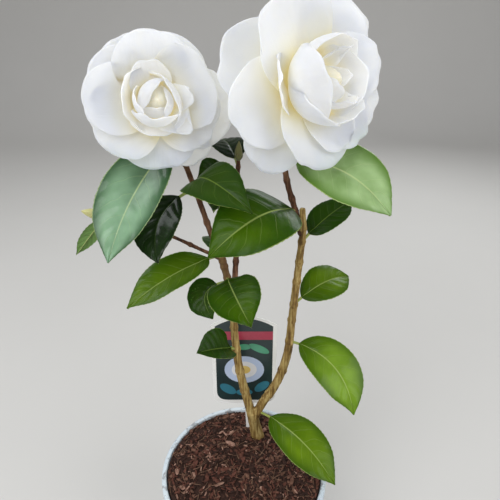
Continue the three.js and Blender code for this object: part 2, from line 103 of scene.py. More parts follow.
# Leaves: the stem and the share of its length where each grows, where its tip reaches, its
# width, the stalk's length, how far the blade arches up and bends sideways, how it rolls
# about its length, how far its halves fold up from the midrib, and its green.
LEAF_FIELDS = ("on", "at", "tip", "width", "stalk", "arch", "sweep", "roll", "fold", "green")
LEAF_ROWS = {
    # This leaf and leaf_under_right_bloom take the two greens that carry a painted sheen.
    "leaf_under_left_bloom": ("shoot_left", 0.8, (-86, -30, 362), 45, 6, 4, 5, -22, 20, "waxy"),
    "leaf_dark_left": ("shoot_left", 0.5, (-56, -20, 356), 34, 9, 6, 11, 0, 8, "dark"),
    "leaf_left_middle": ("twig_left", 0.06, (-84, -10, 313), 35, 5, 7, 0, -15, 12, "fresh"),
    "leaf_far_left": ("twig_left", 0.96, (-121, 8, 348), 12, 3, 2, 0, 74, 10, "bright"),
    "leaf_between_blooms": ("shoot_left", 0.47, (7, -28, 396), 35, 6, 22, 2, 26, 4, "deep"),
    "leaf_big_centre": ("shoot_right", 0.2, (-22, -26, 363.5), 51, 2, 19.5, -2, -24, 5, "middle"),
    "leaf_small_centre": ("shoot_centre", 0.74, (-20, 5, 383), 22, 5, 4, 0, 0, 8, "deep"),
    "leaf_top_centre_left": ("shoot_centre", 0.86, (-32, 26, 400), 38, 4, 5, 0, -20, 8, "deep"),
    "leaf_top_centre_back": ("shoot_centre", 0.96, (-20, 84, 412), 30, 5, 8, 0, 0, 8, "dark"),
    "leaf_low_centre": ("stem_left", 0.88, (6.5, -33, 313), 41, 3, 6, 1, 18, 14, "middle"),
    "leaf_low_left": ("stem_left", 0.86, (-24, 12, 288), 30, 3, 5, 12, -10, 4, "deep"),
    "leaf_by_label": ("stem_left", 0.47, (-38, 8, 257), 36, 6, 4, 0, -30, 34, "deep"),
    "leaf_under_right_bloom": ("shoot_right", 0.58, (96, -16, 389), 52, 6, 10, -6, 24, 6, "pale"),
    "leaf_dark_right": ("stem_right", 0.88, (84, 45, 376), 27, 5, 4, 0, 16, 8, "deep"),
    "leaf_right_middle": ("stem_right", 0.62, (90, 56, 301), 33, 4, 12, 0, 24, 6, "fresh"),
    "leaf_right_lower": ("stem_right", 0.45, (91, -12, 209), 41, 4, 14, -9, 18, 8, "bright"),
    "leaf_over_pot": ("stem_right", 0.05, (80, -21, 134), 43, 10, 13, -2, 6, 6, "fresh"),
    "leaf_back_left_bloom": ("shoot_left", 0.8, (-88, 76, 436), 40, 6, 9, 0, 0, 8, "middle"),
    "leaf_back_high": ("shoot_left", 0.92, (-36, 92, 468), 38, 6, 8, 0, 0, 10, "deep"),
    "leaf_back_right_bloom": ("shoot_right", 0.72, (78, 80, 436), 42, 6, 9, 0, 0, 8, "middle"),
    "leaf_back_top": ("shoot_right", 0.86, (16, 94, 456), 36, 6, 8, 0, 0, 10, "bright"),
    "leaf_back_centre": ("shoot_centre", 0.45, (30, 98, 336), 34, 5, 8, 0, 0, 8, "middle"),
    "leaf_back_middle": ("stem_left", 0.97, (-24, 96, 318), 30, 5, 8, 0, 0, 8, "deep"),
    "leaf_back_low": ("stem_left", 0.68, (-28, 92, 268), 32, 5, 8, 0, 0, 8, "bright"),
}
LEAVES = {name: dict(zip(LEAF_FIELDS, row)) for name, row in LEAF_ROWS.items()}
BACK_LEAVES = [name for name in LEAVES if name.startswith("leaf_back")]
FRONT_LEAVES = [name for name in LEAVES if not name.startswith("leaf_back")]

# Blooms: where each sits, which way it faces, its size, and its petals from the outside in.
# Each petal has its angle around the bloom, the lean from the bloom's axis at which it sets
# out, and the curl, by which it has turned at its tip. Its length and width come next. Its
# sides rise by cup, twist lifts one edge over its neighbour, and its root stands at a height.
# The last number is the tip's share of the width, which is small for a pointed petal.
BLOOMS = {
    "left": dict(
        at=(-54, 8, 456), faces=(0.24, -0.94, 0.2), size=1.04,
        petals=[
            (-12, 80, 12, 47.5, 48, 8, 2, 0, 0.95), (-55, 79, 12, 44.5, 34, 8, 4, 0, 0.95),
            (62, 72, 16, 40, 44, 8, -2, 1, 0.95), (122, 73, 16, 40.5, 42, 8, 3, 1, 0.95),
            (267, 71, 18, 40, 48, 12, 4, 1, 0.95), (151, 66, 22, 41.5, 42, 8, -3, 2, 0.95),
            (207, 63, 24, 42, 46, 14, -2, 3, 0.95), (-24, 63, 22, 39.5, 44, 12, -2, 2, 0.95),
            (175, 57, 32, 43, 40, 16, 2, 4, 0.95), (91, 57, 30, 40.5, 44, 14, 2, 4, 0.95),
            (21, 56, 28, 37.5, 48, 16, 2, 5, 1), (101, 50, 16, 26.5, 25, 30, 0, 5, 0.95),
            (6, 66, -24, 26, 18, 44, 4, 5, 0.9), (-48, 60, -14, 31.5, 22, 30, -14, 5, 0.5),
            (-85, 58, -8, 23.5, 36, 36, 4, 5, 0.95), (172, 80, -84, 34, 40, 56, 4, 2, 0.95),
            (198, 74, -104, 32, 28, 60, 6, 4, 0.9), (14, 78, -118, 34, 40, 62, 6, 3, 0.9),
            (-100, 78, -124, 38, 34, 64, 4, 4, 0.95), (140, 78, -138, 32, 34, 70, 4, 5, 0.9),
            (350, 74, -128, 29, 23, 70, 6, 5, 0.9), (262, 74, -128, 28, 23, 70, 6, 5, 0.9),
        ],
    ),
    "right": dict(
        at=(35, 5, 464), faces=(0.61, -0.73, 0.3), size=1.2,
        petals=[
            (148, 96, 10, 45.5, 48, 8, 3, 0, 0.95), (225, 88, 12, 47.5, 36, 8, 3, 0, 0.95),
            (34, 70, 14, 54.5, 40, 8, 3, 0, 0.95), (-20, 60, 16, 45.5, 40, 8, 3, 0, 0.95),
            (59, 63, 16, 48.5, 56, 8, -3, 2, 0.95), (11, 58, 16, 46, 36, 8, 3, 2, 0.95),
            (-48, 58, 18, 42.5, 36, 8, 3, 1, 0.95), (119, 58, 28, 48, 50, 12, -5, 4, 0.95),
            (190, 82, 18, 48.5, 42, 12, -8, 3, 0.95), (259, 70, 18, 42, 50, 12, -4, 4, 0.95),
            (-73, 62, 20, 36.5, 32, 14, 2, 4, 0.95), (175, 82, -52, 43, 28, 10, 0, 3, 0.9),
            (224, 86, -92, 40, 42, 60, 6, 3, 0.95), (92, 82, -108, 42, 50, 60, 0, 3, 0.95),
            (-4, 74, -90, 36, 40, 60, 4, 3, 0.95), (-75, 80, -92, 38, 40, 60, 4, 3, 0.95),
            (184, 90, -122, 50, 44, 60, 4, 4, 0.95), (70, 62, -74, 34, 14, 66, 10, 5, 0.5),
            (285, 70, -96, 34, 24, 60, -6, 5, 0.7), (210, 66, -100, 34, 22, 66, 4, 6, 0.8),
            (10, 60, -84, 26, 16, 60, 10, 6, 0.7),
        ],
    ),
}
BUDS = {
    "bud_left": dict(on="twig_left", radius=3.4, length=13),
    "bud_centre": dict(on="shoot_centre", radius=3, length=15),
}


class Wire:
    """One output in a finish's nodes. Sums of wires and numbers add Math nodes."""

    def __init__(self, finish, socket):
        self.finish = finish
        self.socket = socket

    def maths(self, operation, *values):
        return self.finish.add("ShaderNodeMath", dict(operation=operation), dict(enumerate(values)))

    def __add__(self, other):
        return self.maths("ADD", self, other)

    def __sub__(self, other):
        return self.maths("SUBTRACT", self, other)

    def __mul__(self, other):
        return self.maths("MULTIPLY", self, other)

    def __pow__(self, other):
        return self.maths("POWER", self, other)

    def __rsub__(self, other):
        return self.maths("SUBTRACT", other, self)

    __radd__ = __add__
    __rmul__ = __mul__

    def size(self):
        return self.maths("ABSOLUTE", self)

    def saw(self):
        return self.maths("FRACT", self)

    def clip(self, low, high):
        """0 below low, 1 above high, and a smooth rise between. Low may be the higher one."""
        settings = dict(interpolation_type="SMOOTHSTEP")
        if low < high:
            inputs = {"Value": self, "From Min": low, "From Max": high, "To Min": 0, "To Max": 1}
        else:
            inputs = {"Value": self, "From Min": high, "From Max": low, "To Min": 1, "To Max": 0}
        return self.finish.add("ShaderNodeMapRange", settings, inputs)


class Finish:
    """A material in the making: its shader, and the nodes that vary it."""

    def __init__(self, name, **values):
        self.material = bpy.data.materials.new(name)
        self.material.use_nodes = True
        self.nodes = self.material.node_tree.nodes
        self.shader = self.nodes["Principled BSDF"]
        for socket, value in values.items():
            self.shader.inputs[socket.replace("_", " ")].default_value = value

    def add(self, kind, settings, inputs, output=0):
        """A node of any kind: its settings first, then the values or links of its inputs."""
        node = self.nodes.new(kind)
        for name, value in settings.items():
            setattr(node, name, value)
        for key, value in inputs.items():
            self.feed(node.inputs[key], value)
        return Wire(self, node.outputs[output])

    def feed(self, socket, value):
        if isinstance(value, Wire):
            self.material.node_tree.links.new(value.socket, socket)
        elif hasattr(value, "__len__") and len(value) == 3 and socket.type == "RGBA":
            socket.default_value = (*value, 1)
        else:
            socket.default_value = value

    def set(self, socket, value):
        self.feed(self.shader.inputs[socket], value)

    def place(self):
        """Where a point lies in the object."""
        return self.add("ShaderNodeTexCoord", {}, {}, "Object")

    def spread(self):
        """A point's two shares on its leaf, petal or scale: X across and Y along, 0 to 1."""
        return self.add("ShaderNodeUVMap", dict(uv_map="place"), {})

    def part(self, vector, letter):
        return self.add("ShaderNodeSeparateXYZ", {}, {"Vector": vector}, letter)

    def stretched(self, vector, scale):
        return self.add("ShaderNodeVectorMath", dict(operation="MULTIPLY"), {0: vector, 1: scale})

    def noise(self, vector, scale, detail=3, rough=0.55):
        inputs = {"Vector": vector, "Scale": scale, "Detail": detail, "Roughness": rough}
        return self.add("ShaderNodeTexNoise", {}, inputs)

    def cells(self, vector, scale):
        return self.add("ShaderNodeTexVoronoi", {}, {"Vector": vector, "Scale": scale})

    def ramp(self, value, *stops):
        """A colour for each value, between stops that are each a value and its colour."""
        wire = self.add("ShaderNodeValToRGB", {}, {"Fac": value})
        elements = wire.socket.node.color_ramp.elements
        for place, _ in stops[1:-1]:
            elements.new(place)
        for element, (place, colour) in zip(elements, stops):
            element.position = place
            element.color = (*colour, 1)
        return wire

    def blend(self, colour, *layers):
        """A colour with others laid over it, each with its share from 0 to 1."""
        for other, share in layers:
            inputs = {0: share, 6: colour, 7: other}
            colour = self.add("ShaderNodeMix", dict(data_type="RGBA"), inputs, 2)
        return colour

    def done(self, colour, height, depth, roughness=None):
        """The material with its colour, its relief of a depth in metres, and its roughness."""
        self.set("Base Color", colour)
        self.set("Normal", self.add("ShaderNodeBump", {}, {"Distance": depth, "Height": height}))
        if roughness is not None:
            self.set("Roughness", roughness)
        return self.material


def bark_finish(name, dark, light, pale, streak, reddish=None):
    """Bark with streaks along the stem. The colours are given from the cracks up. A reddish
    colour tints the upper end of the left stem, where the wood is younger."""
    bark = Finish(name, Roughness=0.75, Specular_IOR_Level=0.3)
    place = bark.place()
    along = bark.stretched(place, (1, 1, 0.04))
    streaks = bark.noise(along, 560, 5, 0.6)
    patches = bark.noise(place, 90, 3)
    flecks = bark.noise(bark.stretched(place, (1, 1, 0.35)), 1700, 3)
    tone = streaks * streak + patches * (1 - streak)
    colour = bark.ramp(tone, (0.38, dark), (0.49, light), (0.62, pale))
    freckled = bark.blend(colour, (dark, flecks.clip(0.6, 0.72) * 0.55))
    if reddish:
        upper_left = bark.part(place, "X").clip(0, -0.005) * bark.part(place, "Z").clip(0.28, 0.32)
        freckled = bark.blend(freckled, (reddish, upper_left * 0.75))
    return bark.done(freckled, streaks + 0.4 * flecks, 0.0006, 0.6 + 0.3 * streaks)


# Side veins: how many pairs a leaf has, and the curve and the slant by which they run out
VEIN_PAIRS = 6.5
VEIN_CURVE = 1.3
VEIN_SLANT = 1.55


def off_vein(along, out, wander=0):
    """How far a point lies from the middle between two side veins, up to 0.5 on a vein."""
    march = along * VEIN_PAIRS - out ** VEIN_CURVE * VEIN_SLANT + wander
    return (march.saw() - 0.5).size()


def leaf_finish(name, blade, light, rib, gloss):
    """A leaf's glossy face: the blade's two greens, with the paler ribs drawn from the midrib. The
    lighter green keeps to the middle as painted sheen, with painted shade at the edges and stalk end.
    """
    leaf = Finish(
        name, Specular_IOR_Level=0.08, Coat_Weight=gloss, Coat_Roughness=0.15, Subsurface_Weight=0.04,
        Subsurface_Radius=(0.0008, 0.0016, 0.0004), Subsurface_Scale=1.0,
    )
    place, along = leaf.place(), leaf.part(leaf.spread(), "Y")
    out = (leaf.part(leaf.spread(), "X") * 2 - 1).size()
    wander = (leaf.noise(place, 60, 2) - 0.5) * 0.6
    vein = off_vein(along, out, wander).clip(0.455, 0.5) * out.clip(0.93, 0.5) * (1 - along * 0.35)
    net = leaf.cells(place, 420)
    midrib = out.clip(0.04, 0.01) * (1 - along * 0.6)
    mottle = leaf.noise(place, 38, 3)
    broad = leaf.noise(place, 16, 2)
    tone = mottle.clip(0.25, 0.75) * 0.45 + broad.clip(0.35, 0.65) * 0.55
    # The lighter green fades out to the blade's edges and towards its stalk. This is painted sheen on the
    # middle, with painted shade where the edges curve down and by the stalk.
    green = leaf.blend(
        blade, (light, tone * out.clip(1.1, 0.45) * along.clip(-0.12, 0.48)), (rib, vein * 0.17),
        (rib, midrib * 0.75), (rib, out.clip(0.96, 0.99) * 0.5),
    )
    relief = net * 0.1 - vein * 0.3 - midrib * 0.5 + mottle * 0.4
    return leaf.done(green, relief, 0.0005, 0.28 + 0.2 * mottle + 0.06 * vein)


def underside_finish():
    """The matt, paler back of a leaf."""
    back = Finish("leaf_back", Roughness=0.6, Specular_IOR_Level=0.35)
    out = (back.part(back.spread(), "X") * 2 - 1).size()
    vein = off_vein(back.part(back.spread(), "Y"), out).clip(0.4, 0.5)
    midrib = out.clip(0.09, 0.02)
    mottle = back.noise(back.place(), 70, 4)
    green = back.blend(
        (0.10, 0.20, 0.045), ((0.16, 0.28, 0.07), mottle), ((0.30, 0.40, 0.13), vein * 0.4),
        ((0.38, 0.44, 0.16), midrib),
    )
    return back.done(green, vein + mottle * 0.5, 0.0004)


def stalk_finish():
    """Leaf stalks, yellow-green."""
    stalk = Finish("leaf_stalk", Roughness=0.45)
    tone = stalk.noise(stalk.place(), 240, 3)
    return stalk.done(stalk.blend((0.22, 0.30, 0.05), ((0.40, 0.42, 0.12), tone)), tone, 0.0003)


def petal_finish(name, painted_glow):
    """Soft white petals, greenish yellow at their roots, with faint lines along them. A painted glow,
    warmest at the roots, stands in for light passing through and between the petals.
    """
    petal = Finish(
        name, Roughness=0.6, Specular_IOR_Level=0.25, Subsurface_Weight=1.0,
        Subsurface_Radius=(0.007, 0.0062, 0.0045), Subsurface_Scale=1.0, Sheen_Weight=0.05,
        Emission_Strength=painted_glow,
    )
    lines = petal.noise(petal.stretched(petal.spread(), (40, 3, 1)), 1, 3)
    clouds = petal.noise(petal.place(), 55, 3)
    root = petal.part(petal.spread(), "Y") + (clouds - 0.5) * 0.16
    # The greenish cream towards the roots is the petals' own colour. The deeper amber closest to the roots
    # is partly that colour and partly painted light: the yellow glow of light through the petals in the
    # gaps.
    white = petal.blend(
        (0.60, 0.61, 0.64), ((0.66, 0.66, 0.66), clouds), ((0.70, 0.68, 0.52), root.clip(0.8, 0.45) * 0.6),
        ((0.72, 0.60, 0.20), root.clip(0.5, 0.2) * 0.8), ((0.56, 0.57, 0.58), lines.clip(0.6, 0.8) * 0.15),
    )
    # Painted light: this emission colour, warm at the roots, makes the petals glow in place of light
    # shining through them and into the hollows between them.
    painted_glow_colour = petal.blend((0.86, 0.88, 0.9), ((1.0, 0.84, 0.42), root.clip(0.75, 0.25)))
    petal.set("Emission Color", painted_glow_colour)
    return petal.done(white, lines * 0.35 + clouds, 0.0003, 0.52 + 0.12 * lines)


def scale_finish(name, shade, light, tip):
    """Bud and calyx scales: silky, green with a browner edge."""
    scale = Finish(name, Roughness=0.5, Sheen_Weight=0.15)
    tone = scale.noise(scale.stretched(scale.spread(), (18, 3, 1)), 1, 3)
    end = scale.part(scale.spread(), "Y").clip(0.72, 1.0)
    return scale.done(scale.blend(shade, (light, tone), (tip, end * 0.8)), tone, 0.0004)


def chip_finish(name, dark, light):
    """One colour of shredded bark, with its grain."""
    chip = Finish(name, Roughness=0.82, Specular_IOR_Level=0.25)
    place = chip.place()
    tone = chip.noise(place, 420, 5, 0.7)
    grain = chip.noise(place, 1600, 3)
    colour = chip.blend(dark, (light, tone.clip(0.3, 0.7)))
    return chip.done(colour, tone + 0.5 * grain, 0.0007, 0.7 + 0.25 * grain)


def pot_finish():
    """Pale blue-grey plastic, a little scuffed, with a dusting of bark near the rim."""
    plastic = Finish("pot_plastic", Specular_IOR_Level=0.5, Coat_Weight=0.05)
    place = plastic.place()
    height = plastic.part(place, "Z")
    clouds = plastic.noise(place, 22, 4)
    specks = plastic.noise(place, 520, 4, 0.7)
    scuffs = plastic.noise(plastic.stretched(place, (1, 1, 7)), 110, 5, 0.7)
    dusty = specks.clip(0.58, 0.68) * height.clip(0.118, 0.13) * 0.6
    smudge = plastic.noise(place, 85, 5, 0.7).clip(0.52, 0.62) * height.clip(0.122, 0.127)
    base = plastic.blend(
        (0.56, 0.64, 0.70), ((0.68, 0.75, 0.79), clouds.clip(0.3, 0.7)),
        ((0.80, 0.84, 0.86), scuffs.clip(0.58, 0.72) * 0.5), ((0.16, 0.10, 0.07), dusty),
        ((0.12, 0.10, 0.09), smudge * 0.6),
    )
    dull = 0.34 + 0.2 * clouds + 0.2 * scuffs.clip(0.5, 0.75)
    return plastic.done(base, specks * 0.5 + clouds, 0.0003, dull)


def card_finish(name, colour, shade):
    """A printed plastic card in one colour."""
    card = Finish(name, Roughness=0.35, Coat_Weight=0.3, Coat_Roughness=0.12)
    clouds = card.noise(card.place(), 60, 4)
    return card.done(card.blend(colour, (shade, clouds.clip(0.35, 0.75) * 0.6)), clouds, 0.0002)


class Heap:
    """Gathers one piece: faces, each with its finish, and points, each with its place on its
    leaf, petal or scale."""

    def __init__(self):
        self.points = []
        self.faces = []
        self.finishes = []
        self.places = []
        self.count = 0

    def put(self, points, faces, finish=0, places=0.0):
        points = np.asarray(points, float).reshape(-1, 3)
        faces = np.asarray(faces, int)
        self.points.append(points)
        self.faces.extend((faces + self.count).tolist())
        self.finishes.append(np.broadcast_to(finish, len(faces)))
        self.places.append(np.broadcast_to(places, (len(points), 2)))
        self.count += len(points)

    def put_rings(self, rings, finish=0, places=0.0, flip=False):
        """Rings of points as an open tube, turned inside out if flipped."""
        number = np.arange(rings[..., 0].size).reshape(rings.shape[:2])
        after = np.roll(number, -1, axis=1)
        corners = [number[:-1], after[:-1], after[1:], number[1:]]
        if flip:
            corners = [number[:-1], number[1:], after[1:], after[:-1]]
        self.put(rings, np.stack(corners, -1).reshape(-1, 4), finish, places)
        return number

    def put_tube(self, rings, finish=0, flip=False):
        """Rings of points as a closed tube with flat ends, turned inside out if flipped."""
        number = self.put_rings(rings, finish, flip=flip)
        ends = (number[0], number[-1, ::-1]) if flip else (number[0, ::-1], number[-1])
        self.faces.extend((self.count - number.size + end).tolist() for end in ends)
        self.finishes.append(np.full(2, finish))

    def make(self, name, materials, slot, *nodes):
        """The piece as an object in metres, which stands for the named CAD nodes."""
        mesh = bpy.data.meshes.new(name)
        mesh.from_pydata(np.vstack(self.points) * MM, [], self.faces)
        mesh.polygons.foreach_set("material_index", np.concatenate(self.finishes).astype(np.int32))
        corners = np.empty(len(mesh.loops), np.int32)
        mesh.loops.foreach_get("vertex_index", corners)
        flat = mesh.uv_layers.new(name="place")
        flat.data.foreach_set("uv", np.vstack(self.places)[corners].ravel())
        mesh.shade_smooth()
        mesh.update()
        return dress(name, mesh, materials, slot, *nodes)


def add(name, data):
    """A new object in the scene."""
    thing = bpy.data.objects.new(name, data)
    bpy.context.scene.collection.objects.link(thing)
    return thing


def dress(name, mesh, materials, slot, *nodes):
    """A mesh in metres as a piece of the plant, with its materials."""
    for material in materials:
        mesh.materials.append(material)
    piece = add(name, mesh)
    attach(piece, "root")
    if nodes:
        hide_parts(*nodes)
    return piece


def modified(piece):
    """A copy of a piece's mesh, with its modifiers applied."""
    graph = bpy.context.evaluated_depsgraph_get()
    return bpy.data.meshes.new_from_object(piece.evaluated_get(graph))


def round_turns(count):
    """Angles evenly spaced round a circle."""
    return np.arange(count) / count * 2 * math.pi


def unit(vector):
    """A vector, or rows of them, brought to a length of 1."""
    return vector / np.linalg.norm(vector, axis=-1, keepdims=True)


def about(axis, angle):
    """The matrix that turns rows of points about X, Y or Z, which are 0, 1 and 2."""
    first, second = (axis + 1) % 3, (axis + 2) % 3
    matrix = np.eye(3)
    matrix[first, first] = matrix[second, second] = math.cos(angle)
    matrix[first, second], matrix[second, first] = math.sin(angle), -math.sin(angle)
    return matrix


def sheet(skin):
    """The points and faces of a closed sheet between a skin's front and back grids of points.
    Its faces come in the order front, back, rim."""
    front, back = skin(1), skin(-1)
    rows, columns = front.shape[:2]
    number = np.arange(rows * columns).reshape(rows, columns)
    quad = np.stack([number[:-1, :-1], number[:-1, 1:], number[1:, 1:], number[1:, :-1]], -1)
    quad = quad.reshape(-1, 4)
    behind = quad[:, ::-1] + rows * columns
    edge = np.concatenate([number[0], number[1:, -1], number[-1, -2::-1], number[-2:0:-1, 0]])
    ahead = np.roll(edge, -1)
    rim = np.stack([ahead, edge, edge + rows * columns, ahead + rows * columns], -1)
    points = np.concatenate([front.reshape(-1, 3), back.reshape(-1, 3)])
    return points, quad, behind, rim


def both_sides(u, v):
    """The place of each point of a sheet on its leaf or petal, the same for front and back."""
    spread = np.stack(np.broadcast_arrays((u + 1) / 2, v), -1)
    return np.concatenate([spread.reshape(-1, 2)] * 2)


class Run:
    """A stem's middle line: a centripetal Catmull-Rom curve, read by the share of its length."""

    def __init__(self, points):
        knots = np.array(points, float)
        knots = np.vstack([2 * knots[0] - knots[1], knots, 2 * knots[-1] - knots[-2]])
        share = np.linspace(0, 1, 60, endpoint=False)[:, None]
        spans = []
        for a, b, c, d in zip(knots, knots[1:], knots[2:], knots[3:]):
            before, within, after = (np.linalg.norm(q - p) ** 0.5 for p, q in ((a, b), (b, c), (c, d)))
            leave = within * ((b - a) / before - (c - a) / (before + within) + (c - b) / within)
            arrive = within * ((c - b) / within - (d - b) / (within + after) + (d - c) / after)
            spans.append(
                b + leave * share + (3 * (c - b) - 2 * leave - arrive) * share ** 2
                + (2 * (b - c) + leave + arrive) * share ** 3
            )
        self.line = np.vstack([*spans, knots[-2]])
        lengths = np.linalg.norm(np.diff(self.line, axis=0), axis=1)
        self.along = np.concatenate([[0], np.cumsum(lengths)])
        self.length = self.along[-1]

    def at(self, share):
        distance = np.asarray(share) * self.length
        return np.stack([np.interp(distance, self.along, axis) for axis in self.line.T], -1)

    def heading(self, share):
        small = 0.002
        return unit(self.at(np.minimum(share + small, 1)) - self.at(np.maximum(share - small, 0)))


RUNS = {name: Run(limb["points"]) for name, limb in LIMBS.items()}


def radius_at(name, share):
    radii = LIMBS[name]["radii"]
    return np.interp(share, np.linspace(0, 1, len(radii)), radii)


def turned(vector, axis, angle):
    """A vector turned about any axis."""
    return (
        vector * math.cos(angle) + np.cross(axis, vector) * math.sin(angle)
        + axis * np.dot(axis, vector) * (1 - math.cos(angle))
    )


def noise_at(points, scale, seed=0.0):
    """Smooth noise from -1 to 1 at each of an array of points."""
    flat = (np.asarray(points, float) * scale + seed).reshape(-1, 3)
    values = [noise.noise(Vector(p)) for p in flat]
    return np.array(values).reshape(np.shape(points)[:-1])


# Wood

VOXEL = 0.55
STEM_SIDES = 26
STEM_STEP = 1.6

# How far a stem swells out at a leaf's stalk or a scar, and how far along it that reaches
NODE_HEIGHT = 0.55
NODE_LENGTH = 1.9

# Old leaf scars, as shares of each stem's length
SCARS = {
    "stem_left": (0.2, 0.33, 0.6, 0.76, 0.94, 0.99),
    "stem_right": (0.16, 0.3, 0.55, 0.72, 0.8, 0.93),
    "shoot_left": (0.02, 0.28, 0.66),
    "shoot_right": (0.02, 0.3, 0.44),
    "shoot_centre": (0.04, 0.3, 0.6),
    "twig_left": (0.04, 0.3, 0.5, 0.75),
}


def stem(heap, name):
    """A stem as a closed tube, with its ends rounded off."""
    run = RUNS[name]
    shares = np.linspace(0, 1, int(run.length / STEM_STEP) + 1)
    centres, headings = run.at(shares), run.heading(shares)
    side = unit(np.cross(headings[0], (0.3, 1, 0.2)))
    turns = round_turns(STEM_SIDES)
    rings = []
    for centre, heading, share in zip(centres, headings, shares):
        side = unit(side - heading * np.dot(side, heading))
        across = np.cross(heading, side)
        radius = radius_at(name, share)
        rings.append(centre + radius * (np.cos(turns)[:, None] * side + np.sin(turns)[:, None] * across))
    first = centres[0] + 0.55 * (rings[0] - centres[0]) - headings[0] * 0.4
    last = centres[-1] + 0.8 * (rings[-1] - centres[-1]) + headings[-1] * 0.5
    heap.put_tube(np.array([first, *rings, last]))


def swelling(name, shares):
    """How far a stem swells out at shares of its length: at each leaf's stalk and each scar."""
    rings = [leaf["at"] for leaf in LEAVES.values() if leaf["on"] == name]
    rings = np.array([*rings, *SCARS.get(name, ())])[:, None]
    gaps = (np.abs(rings - shares) * RUNS[name].length).min(axis=0, initial=100)
    return NODE_HEIGHT * np.exp(-((gaps / NODE_LENGTH) ** 2))


def wood(piece_name, limbs, slot, material, relief):
    """The stems of one age as one skin, fused where they meet, with the bark's relief."""
    heap = Heap()
    for name in limbs:
        stem(heap, name)
    rough = heap.make(piece_name + "_rough", [], slot)
    remesh = rough.modifiers.new("fuse", "REMESH")
    remesh.mode = "VOXEL"
    remesh.voxel_size = VOXEL * MM
    smooth = rough.modifiers.new("soften", "SMOOTH")
    smooth.iterations = 5
    smooth.factor = 0.6
    mesh = modified(rough)
    bpy.data.objects.remove(rough)
    mesh.name = piece_name

    centres, swells = [], []
    for name in limbs:
        shares = np.linspace(0, 1, int(RUNS[name].length) + 1)
        centres.extend(RUNS[name].at(shares))
        swells.extend(swelling(name, shares))
    tree = kdtree.KDTree(len(centres))
    for index, centre in enumerate(centres):
        tree.insert(centre, index)
    tree.balance()

    count = len(mesh.vertices)
    points, normals = np.empty(count * 3), np.empty(count * 3)
    mesh.vertices.foreach_get("co", points)
    mesh.vertex_normals.foreach_get("vector", normals)
    points, normals = points.reshape(-1, 3) / MM, normals.reshape(-1, 3)
    streaks = noise_at(points * (1, 1, 0.16), 0.95, 3.1)
    lumps = noise_at(points, 0.16, 8.4)
    grain = noise_at(points * (1, 1, 0.4), 2.2, 5.5)
    nearest = [tree.find(point)[1] for point in points]
    push = relief * (streaks * 0.6 + lumps * 0.6 + grain * 0.25) + np.array(swells)[nearest]
    points += normals * push[:, None]
    mesh.vertices.foreach_set("co", (points * MM).ravel())
    mesh.shade_smooth()
    mesh.update()
    return dress(piece_name, mesh, [material], slot, *limbs)


# Leaves

TOOTH_PITCH = 3.6
TOOTH_DEPTH = 0.5

# Where the points lie across half a leaf, from near the midrib to the edge
LEAF_SIDES = np.array([0.05, 0.11, 0.19, 0.29, 0.39, 0.5, 0.61, 0.72, 0.82, 0.9, 0.965, 1])
LEAF_ACROSS = np.concatenate([-LEAF_SIDES[::-1], [0], LEAF_SIDES])

# The leaves' greens: each with the two greens of its blade, the green of its ribs and its
# gloss. The finishes of the leaves' backs and stalks come after them. The lighter greens of
# the last two are painted sheen, for the sky's reflection on the leaves under the blooms.
RIB = (0.4, 0.5, 0.14)
GREENS = dict(
    bright=((0.05, 0.11, 0.002), (0.215, 0.36, 0.024), RIB, 0.25),
    fresh=((0.034, 0.082, 0.001), (0.125, 0.215, 0.006), RIB, 0.14),
    middle=((0.018, 0.055, 0.001), (0.058, 0.122, 0.002), RIB, 0.08),
    deep=((0.014, 0.042, 0.002), (0.032, 0.07, 0.004), (0.2, 0.3, 0.05), 0.12),
    dark=((0.005, 0.014, 0.003), (0.011, 0.028, 0.005), (0.06, 0.11, 0.02), 0.28),
    # Painted sheen: the pale light greens of these two stand in for the sky reflected in the two leaves
    # under the blooms.
    waxy=((0.014, 0.058, 0.014), (0.26, 0.425, 0.262), (0.46, 0.58, 0.26), 0.4),
    pale=((0.075, 0.165, 0.012), (0.47, 0.65, 0.32), (0.56, 0.66, 0.3), 0.4),
)
UNDERSIDE = len(GREENS)
STALK = UNDERSIDE + 1
LEAF_SEED = 11.3


def leaf_half_width(width, share):
    """Half the blade's width at a share of its length from the stalk. Its tip is drawn out."""
    shoulder, taper = LEAF["shoulder"], LEAF["taper"]
    peak = shoulder / (shoulder + taper)
    full = peak ** shoulder * (1 - peak) ** taper
    hollow = 1 - LEAF["drawn"] * np.maximum(0, (share - 0.7) / 0.3) ** 2
    shape = hollow * share ** shoulder * (1 - share) ** taper / full
    least = LEAF["stalk_radius"] + (LEAF["tip_half"] - LEAF["stalk_radius"]) * share
    return np.maximum(width / 2 * shape, least)


